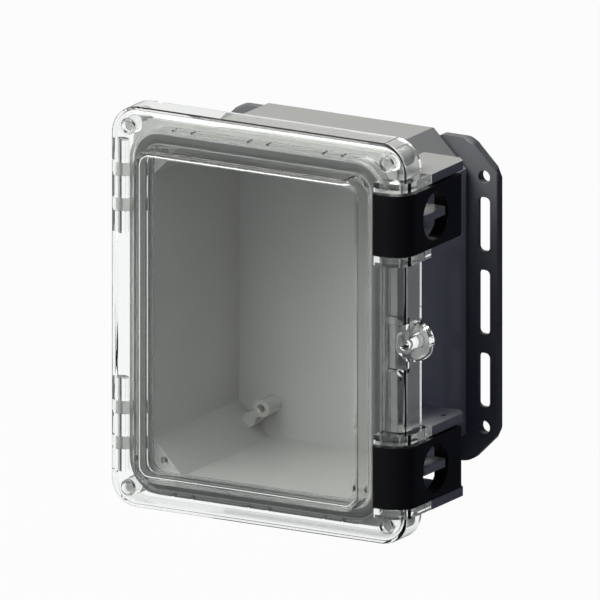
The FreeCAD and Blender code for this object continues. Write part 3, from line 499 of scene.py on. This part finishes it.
class ENCLOSURE_OT_tub(EnclosureStep):
    """Gives the moulded tub its light grey gloss and fine grain."""

    bl_idname = "enclosure.tub"
    bl_label = "Tub"

    def execute(self, context):
        """Dresses the base."""
        plastics = settings("plastics")
        finish = moulded("tub_grey", tuple(plastics.base_tone), plastics.base_roughness, drift=0.03,
                         specular=0.5, strength=0.1)
        dress(["base"], finish)
        return {"FINISHED"}


class ENCLOSURE_OT_brackets(EnclosureStep):
    """Moulds the dark wall brackets, with the rounds on their corners that the solids leave out."""

    bl_idname = "enclosure.brackets"
    bl_label = "Wall brackets"

    def execute(self, context):
        """Rounds a copy of each bracket, which stands for it."""
        plastics, rounds = settings("plastics"), settings("rounds")
        finish = moulded("bracket_charcoal", tuple(plastics.bracket_tone), plastics.bracket_roughness,
                         drift=0.05)
        for side in ("left", "right"):
            node = "mounting_bracket_" + side
            mesh = exact_copy(NODES[node].data)
            round_edges(mesh, cut_corners(mesh), rounds.bracket_corner, rounds.bracket_steps)
            piece = add_piece("bracket_moulding_" + side, mesh, finish, "base", node,
                              sharp=180.0)
            keep_normals(piece.data)
        return {"FINISHED"}


def cut_corners(mesh):
    """The short edges through the plate where a cut-off corner meets its sides."""
    mesh.normal_update()
    found = []
    for edge in mesh.edges:
        along = edge.verts[1].co - edge.verts[0].co
        bend = edge.calc_face_angle_signed(0.0)
        if abs(along.y) > along.length - SAME and abs(bend - CUT_ANGLE) < CUT_SLACK:
            found.append(edge)
    if not found:
        raise RuntimeError("the bracket has no cut-off corners")
    return found


class ENCLOSURE_OT_latches(EnclosureStep):
    """Gives the snap latches their black satin."""

    bl_idname = "enclosure.latches"
    bl_label = "Latches"

    def execute(self, context):
        """Dresses both latches."""
        plastics = settings("plastics")
        finish = moulded("latch_black", tuple(plastics.latch_tone), plastics.latch_roughness, drift=0.08,
                         specular=0.22, cell_scale=0.7)
        dress(["latch_upper", "latch_lower"], finish)
        return {"FINISHED"}


class ENCLOSURE_OT_cover(EnclosureStep):
    """Moulds the clear cover, with the two rounds inside it that the solid leaves out."""

    bl_idname = "enclosure.cover"
    bl_label = "Clear cover"

    def execute(self, context):
        """Rounds a copy of the cover, which stands for it."""
        rounds = settings("rounds")
        low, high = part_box("cover")
        mesh = exact_copy(NODES["cover"].data)
        round_inside(mesh, rounds.flange_front, -low.x, high.z, rounds.corner, rounds.flange_round)
        round_inside(mesh, -low.y, rounds.window_half_width, rounds.window_half_height, rounds.window_corner,
                     rounds.window_round)
        piece = add_piece("cover_moulding", mesh, clear_polycarbonate("clear_polycarbonate"), "cover",
                          "cover", sharp=180.0)
        keep_normals(piece.data)
        return {"FINISHED"}


def round_inside(mesh, front, half_width, half_height, corner, radius):
    """Rounds the cover's inner edge behind a front face with this outline and these outer corners."""
    rounds = settings("rounds")
    mesh.normal_update()
    chosen = []
    for edge in mesh.edges:
        slopes = [abs(face.normal.y) for face in edge.link_faces]
        level = all(abs(vertex.co.y + front - rounds.wall) < NEAR for vertex in edge.verts)
        if not level or min(slopes) > UPRIGHT or max(slopes) < FLAT:
            continue
        depths = [depth_inside(vertex.co, half_width, half_height, corner) for vertex in edge.verts]
        if all(abs(depth - rounds.wall) < NEAR for depth in depths):
            chosen.append(edge)
    if not chosen:
        raise RuntimeError("the cover has no inner edge there")
    round_edges(mesh, chosen, radius, rounds.cover_steps)


def depth_inside(point, half_width, half_height, corner):
    """How far a point lies inside a rounded rectangle, seen from the front."""
    right, up = abs(point.x) - half_width + corner, abs(point.z) - half_height + corner
    return corner - (math.hypot(right, up) if min(right, up) > 0 else max(right, up))


class ENCLOSURE_OT_pins(EnclosureStep):
    """Gives the hinge and latch pins drawn steel."""

    bl_idname = "enclosure.pins"
    bl_label = "Pins"

    def execute(self, context):
        """Dresses the four pins."""
        hardware = settings("hardware")
        finish = turned_metal("drawn_steel", tuple(hardware.steel_tone), hardware.pin_roughness,
                              UPRIGHT_GRAIN)
        dress([name for name in NODES if name.startswith(("hinge_pin", "latch_pin"))], finish)
        return {"FINISHED"}


class ENCLOSURE_OT_seal(EnclosureStep):
    """Lays the crowned foam seal in the cover's groove."""

    bl_idname = "enclosure.seal"
    bl_label = "Foam seal"

    def execute(self, context):
        """Makes the seal from its node's box."""
        hardware = settings("hardware")
        low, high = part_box("cover_gasket")
        half_width, corner = seal_inside()
        width = high.x - half_width
        mesh = bmesh.new()
        corners = [mesh.verts.new((x, low.y, z)) for x, z in
                   ((low.x, low.z), (high.x, low.z), (high.x, high.z), (low.x, high.z))]
        mesh.faces.new(corners)
        bmesh.ops.bevel(mesh, geom=corners, offset=corner + width, offset_type="OFFSET",
                        segments=hardware.seal_corner_steps, profile=0.5, affect="VERTICES", material=-1)
        outer = mesh.faces[:]
        bmesh.ops.inset_region(mesh, faces=outer, thickness=width, use_boundary=True, use_even_offset=True)
        bmesh.ops.delete(mesh, geom=outer, context="FACES_ONLY")
        ring = mesh.faces[:]
        raised = bmesh.ops.extrude_face_region(mesh, geom=ring)
        top = [item for item in raised["geom"] if isinstance(item, bmesh.types.BMVert)]
        bmesh.ops.translate(mesh, verts=top, vec=(0.0, high.y - low.y, 0.0))
        crown = [edge for edge in mesh.edges if len(edge.link_faces) == 2
                 and edge.calc_face_angle(0.0) > SEAL_EDGE]
        edge_bevel(mesh, crown, hardware.seal_crown, hardware.seal_crown_steps)
        piece = add_piece("cover_seal", mesh, foam("seal_foam", tuple(hardware.foam_tone)), "cover",
                          "cover_gasket", sharp=60.0)
        return {"FINISHED"}


def seal_inside():
    """Inner half width and inner corner radius of the seal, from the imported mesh."""
    points = [vertex.co for vertex in NODES["cover_gasket"].data.vertices]
    side_end = min(abs(point.z) for point in points)
    end_start = min(abs(point.x) for point in points)
    half_width = min(abs(point.x) for point in points if abs(point.z) < side_end + SAME)
    half_height = min(abs(point.z) for point in points if abs(point.x) < end_start + SAME)
    return half_width, half_height - side_end


class ENCLOSURE_OT_bracket_screws(EnclosureStep):
    """Turns the socket-head screws that hold the brackets."""

    bl_idname = "enclosure.bracket_screws"
    bl_label = "Bracket screws"

    def execute(self, context):
        """Makes a screw in place of each plain one."""
        hardware = settings("hardware")
        finish = turned_metal("screw_steel_bright", tuple(hardware.steel_tone), hardware.screw_roughness,
                              SCREW_GRAIN)
        for side in SIDES:
            node = "bracket_screw_" + side
            add_piece("socket_screw_" + side, socket_screw(node), finish, "base", node)
        return {"FINISHED"}


def socket_screw(node):
    """A socket-head screw: a knurled head at its +Y end, with a hexagon hole, and a threaded shank."""
    hardware = settings("hardware")
    low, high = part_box(node)
    centre = Vector(((low.x + high.x) / 2, 0.0, (low.z + high.z) / 2))
    points = [vertex.co for vertex in NODES[node].data.vertices]
    head_radius = (high.x - low.x) / 2
    shank_radius = max(off_axis(point, centre).length for point in points if abs(point.y - low.y) < SAME)
    wide = [point.y for point in points if off_axis(point, centre).length > head_radius - SAME]
    head_back, head_front = max(wide), min(wide)
    mesh = bmesh.new()
    ribs = hardware.knurl_ribs
    made = bmesh.ops.create_circle(mesh, cap_ends=True, radius=head_radius, segments=ribs * 2)
    bmesh.ops.rotate(mesh, verts=made["verts"], cent=(0, 0, 0), matrix=Matrix.Rotation(math.pi / 2, 3, "X"))
    bmesh.ops.translate(mesh, verts=made["verts"], vec=(centre.x, head_back, centre.z))
    face = mesh.faces[:]
    bmesh.ops.inset_region(mesh, faces=face, thickness=head_radius - hardware.socket_across,
                           use_boundary=True, use_even_offset=True)
    for vertex in face[0].verts:
        turn = math.atan2(vertex.co.z - centre.z, vertex.co.x - centre.x) % (math.pi / 3) - math.pi / 6
        set_radius([vertex], centre, hardware.socket_across / math.cos(turn))
    set_radius(made["verts"][1::2], centre, head_radius - hardware.knurl_depth)
    return finish_screw(mesh, face[0], centre, head_front, low.y, shank_radius)


def off_axis(point, centre):
    """The way from a screw's or insert's axis, which runs along Y through its centre, straight to a point."""
    return point - Vector((centre.x, point.y, centre.z))


def set_radius(verts, centre, radius):
    """Moves vertices in or out to a distance from a screw's axis."""
    for vertex in verts:
        way = off_axis(vertex.co, centre)
        vertex.co += way.normalized() * radius - way


def finish_screw(mesh, socket, centre, head_front, end, shank_radius):
    """Sinks the socket, draws the head forward and adds the threaded shank."""
    hardware = settings("hardware")
    sunk = bmesh.ops.extrude_discrete_faces(mesh, faces=[socket])["faces"][0]
    bmesh.ops.translate(mesh, verts=sunk.verts[:], vec=(0.0, -hardware.socket_depth, 0.0))
    bmesh.ops.poke(mesh, faces=[sunk])
    side = draw_rim(mesh)
    bmesh.ops.translate(mesh, verts=side, vec=(0.0, head_front - side[0].co.y, 0.0))
    ring = draw_rim(mesh)
    set_radius(ring, centre, shank_radius)
    step = hardware.thread_pitch
    turns = max(1, int((ring[0].co.y - end) / step))
    for _ in range(turns):
        for radius in (shank_radius - hardware.thread_depth, shank_radius):
            ring = draw_rim(mesh)
            bmesh.ops.translate(mesh, verts=ring, vec=(0.0, -step / 2, 0.0))
            set_radius(ring, centre, radius)
    bmesh.ops.holes_fill(mesh, edges=[edge for edge in mesh.edges if edge.is_boundary], sides=0)
    return mesh


def draw_rim(mesh):
    """Extrudes the open rim of a mesh on the spot, and gives the new vertices."""
    rim = [edge for edge in mesh.edges if edge.is_boundary]
    drawn = bmesh.ops.extrude_edge_only(mesh, edges=rim)
    return [item for item in drawn["geom"] if isinstance(item, bmesh.types.BMVert)]


class ENCLOSURE_OT_inserts(EnclosureStep):
    """Turns the threaded inserts."""

    bl_idname = "enclosure.inserts"
    bl_label = "Threaded inserts"

    def execute(self, context):
        """Makes an insert in place of each plain tube."""
        hardware = settings("hardware")
        finish = turned_metal("insert_nickelled", tuple(hardware.insert_tone), hardware.insert_roughness,
                              INSERT_GRAIN)
        for kind in ("panel", "swing"):
            for side in SIDES:
                node = f"{kind}_insert_{side}"
                add_piece(f"{kind}_thread_{side}", threaded_insert(node), finish, "base",
                          node)
        return {"FINISHED"}


def threaded_insert(node):
    """A tube with a waist, spun from its profile, with a threaded bore."""
    hardware = settings("hardware")
    low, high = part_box(node)
    centre = Vector(((low.x + high.x) / 2, 0.0, (low.z + high.z) / 2))
    outer = (high.x - low.x) / 2
    bore = min(off_axis(vertex.co, centre).length for vertex in NODES[node].data.vertices)
    depth = hardware.thread_depth
    tall = high.y - low.y
    waist = [(outer - depth * inward, tall * part) for part, inward in WAIST]
    profile = [(outer, 0.0), *waist, (outer, tall)]
    turns = max(2, int((tall - 2 * depth) / hardware.thread_pitch))
    step = (tall - 2 * depth) / turns
    profile.append((bore + depth, tall))
    for turn in range(turns, -1, -1):
        profile.append((bore, depth + turn * step))
        if turn:
            profile.append((bore + depth * BORE_THREAD, depth + (turn - 0.5) * step))
    profile.append((bore + depth, 0.0))
    mesh = bmesh.new()
    points = [mesh.verts.new((centre.x + radius, low.y + rise, centre.z)) for radius, rise in profile]
    edges = [mesh.edges.new((a, b)) for a, b in zip(points, points[1:] + points[:1])]
    bmesh.ops.spin(mesh, geom=points + edges, cent=centre, axis=(0.0, 1.0, 0.0), angle=2 * math.pi,
                   steps=hardware.insert_facets, use_merge=True, use_duplicate=False, dvec=(0, 0, 0))
    return mesh


# Stage


def lamp(name, place, size, tone, power):
    """A soft square lamp that faces the enclosure."""
    data = bpy.data.lights.new(name, "AREA")
    data.shape = "SQUARE"
    data.size = size
    data.energy = power
    data.color = tone
    holder = bpy.data.objects.new(name, data)
    holder.location = place
    holder.rotation_euler = (Vector(place) - Vector(LAMP_AIM)).to_track_quat("Z", "Y").to_euler()
    bpy.context.scene.collection.objects.link(holder)


def ray_shares(nodes, link):
    """Two shares of a ray: seen by the camera, straight or through the clear cover, and mirrored by gloss.

    Both are 0 for light that lands on a matt surface first, and both are 1 for a ray that the cover refracts.
    """
    path = nodes.new("ShaderNodeLightPath")
    first = nodes.new("ShaderNodeMath")
    first.operation = "LESS_THAN"
    link(path.outputs["Diffuse Depth"], first.inputs[0])
    first.inputs[1].default_value = 0.5
    shares = []
    for kind in ("Is Transmission Ray", "Is Glossy Ray"):
        kept = nodes.new("ShaderNodeMath")
        kept.operation = "MULTIPLY"
        link(path.outputs[kind], kept.inputs[0])
        link(first.outputs[0], kept.inputs[1])
        shares.append(kept.outputs[0])
    either = nodes.new("ShaderNodeMath")
    either.operation = "MAXIMUM"
    link(shares[0], either.inputs[0])
    link(path.outputs["Is Camera Ray"], either.inputs[1])
    return either.outputs[0], shares[1]


def blended(nodes, link, factor, first, second):
    """A colour mix of two colours or sockets."""
    mix = nodes.new("ShaderNodeMix")
    mix.data_type = "RGBA"
    link(factor, mix.inputs["Factor"])
    for slot, value in (("A", first), ("B", second)):
        if isinstance(value, bpy.types.NodeSocket):
            link(value, mix.inputs[slot])
        else:
            mix.inputs[slot].default_value = (*value, 1.0)
    return mix.outputs["Result"]


class ENCLOSURE_OT_stage(EnclosureStep):
    """Sets the floor, the lamps, the air and the camera."""

    bl_idname = "enclosure.stage"
    bl_label = "Stage"

    def execute(self, context):
        """Makes everything that isn't part of the enclosure."""
        self.add_floor()
        self.add_air(context)
        for name, values in LAMPS.items():
            lamp(name + "_lamp", power=getattr(settings("stage"), name + "_power"), **values)
        self.add_camera(context)
        context.scene.view_settings.view_transform = "Standard"
        context.scene.cycles.max_bounces = LIGHT_BOUNCES
        context.scene.cycles.transmission_bounces = LIGHT_BOUNCES
        context.scene.cycles.transparent_max_bounces = LIGHT_BOUNCES
        return {"FINISHED"}

    def add_floor(self):
        """A wide pale floor just under the enclosure."""
        stage = settings("stage")
        mesh = bmesh.new()
        bmesh.ops.create_grid(mesh, x_segments=4, y_segments=4, size=stage.floor_half)
        data = bpy.data.meshes.new("studio_floor")
        mesh.to_mesh(data)
        mesh.free()
        floor = bpy.data.objects.new("studio_floor", data)
        floor.location = (0.0, 0.0, CAD_BOX[0][2] - FLOOR_DROP)
        bpy.context.scene.collection.objects.link(floor)
        material, shader, _, link = bare_material("floor_pale", tuple(stage.floor_tone))
        nodes = material.node_tree.nodes
        shader.inputs["Base Color"].default_value = (*stage.floor_tone, 1.0)
        shader.inputs["Roughness"].default_value = 0.9
        shader.inputs["Specular IOR Level"].default_value = 0.0
        direct, mirrored = ray_shares(nodes, link)
        glow = nodes.new("ShaderNodeEmission")
        link(blended(nodes, link, direct, tuple(stage.mirror_tone), (1.0, 1.0, 1.0)), glow.inputs["Color"])
        either = nodes.new("ShaderNodeMath")
        either.operation = "MAXIMUM"
        link(direct, either.inputs[0])
        link(mirrored, either.inputs[1])
        part = nodes.new("ShaderNodeMath")
        part.operation = "MULTIPLY"
        part.inputs[1].default_value = 1.0 - stage.shadow_share
        link(either.outputs[0], part.inputs[0])
        mix = nodes.new("ShaderNodeMixShader")
        link(part.outputs[0], mix.inputs[0])
        link(shader.outputs["BSDF"], mix.inputs[1])
        link(glow.outputs["Emission"], mix.inputs[2])
        output = next(node for node in nodes if node.type == "OUTPUT_MATERIAL")
        link(mix.outputs["Shader"], output.inputs["Surface"])
        data.materials.append(material)

    def add_air(self, context):
        """Weak even light, with plain white for what is seen and a studio for what gloss mirrors.

        The studio darkens to the lower right.
        """
        stage = settings("stage")
        world = bpy.data.worlds.new("studio_air")
        world.use_nodes = True
        context.scene.world = world
        nodes, link = world.node_tree.nodes, world.node_tree.links.new
        back = next(node for node in nodes if node.type == "BACKGROUND")
        direct, mirrored = ray_shares(nodes, link)
        sight = nodes.new("ShaderNodeTexCoord")
        toward = nodes.new("ShaderNodeVectorMath")
        toward.operation = "DOT_PRODUCT"
        toward.inputs[1].default_value = LIT_SIDE
        link(sight.outputs["Generated"], toward.inputs[0])
        height = nodes.new("ShaderNodeMapRange")
        height.interpolation_type = "SMOOTHSTEP"
        height.inputs["From Min"].default_value = -0.2
        height.inputs["From Max"].default_value = 0.6
        link(toward.outputs["Value"], height.inputs["Value"])
        studio = blended(nodes, link, height.outputs["Result"], tuple(stage.shade_tone),
                         tuple(stage.sky_tone))
        glossy = blended(nodes, link, mirrored, tuple(stage.air_tone), studio)
        link(blended(nodes, link, direct, glossy, (1.0, 1.0, 1.0)), back.inputs["Color"])

    def add_camera(self, context):
        """A parallel camera at the photograph's angle."""
        stage = settings("stage")
        turn, rise = stage.view_azimuth, stage.view_elevation
        back = Vector((math.sin(turn) * math.cos(rise), -math.cos(turn) * math.cos(rise), math.sin(rise)))
        right = Vector((math.cos(turn), math.sin(turn), 0.0))
        up = back.cross(right)
        centre = right * stage.view_right + up * stage.view_up
        data = bpy.data.cameras.new("photo_camera")
        data.type = "ORTHO"
        data.ortho_scale = stage.view_width
        data.clip_end = 20.0
        camera = bpy.data.objects.new("photo_camera", data)
        camera.location = centre + back * stage.view_distance
        camera.rotation_euler = back.to_track_quat("Z", "Y").to_euler()
        context.scene.collection.objects.link(camera)
        context.scene.camera = camera


STEPS = (ENCLOSURE_OT_tub, ENCLOSURE_OT_brackets, ENCLOSURE_OT_latches, ENCLOSURE_OT_cover, ENCLOSURE_OT_pins,
         ENCLOSURE_OT_seal, ENCLOSURE_OT_bracket_screws, ENCLOSURE_OT_inserts, ENCLOSURE_OT_stage)
GROUPS = {"plastics": EnclosurePlastics, "rounds": EnclosureRounds, "hardware": EnclosureHardware,
          "stage": EnclosureStage}


class ENCLOSURE_PT_steps(bpy.types.Panel):
    """Lists the steps and their values."""

    bl_label = "Enclosure"
    bl_idname = "ENCLOSURE_PT_steps"
    bl_space_type = "VIEW_3D"
    bl_region_type = "UI"
    bl_category = "Enclosure"

    def draw(self, context):
        """Draws a button for each step and a field for each value."""
        for step in STEPS:
            self.layout.operator(step.bl_idname)
        for name, group in GROUPS.items():
            box = self.layout.box()
            for value in group.__annotations__:
                box.prop(settings(name), value)


def register():
    """Adds the classes and the scene's values."""
    for item in (*GROUPS.values(), *STEPS, ENCLOSURE_PT_steps):
        bpy.utils.register_class(item)
    for name, group in GROUPS.items():
        setattr(bpy.types.Scene, "enclosure_" + name, PointerProperty(type=group))


def unregister():
    """Takes the classes and the scene's values away."""
    for name in GROUPS:
        delattr(bpy.types.Scene, "enclosure_" + name)
    for item in reversed((*GROUPS.values(), *STEPS, ENCLOSURE_PT_steps)):
        bpy.utils.unregister_class(item)


def main():
    """Runs each step."""
    register()
    for step in STEPS:
        group, name = step.bl_idname.split(".")
        getattr(getattr(bpy.ops, group), name)()


if __name__ == "__main__":
    main()
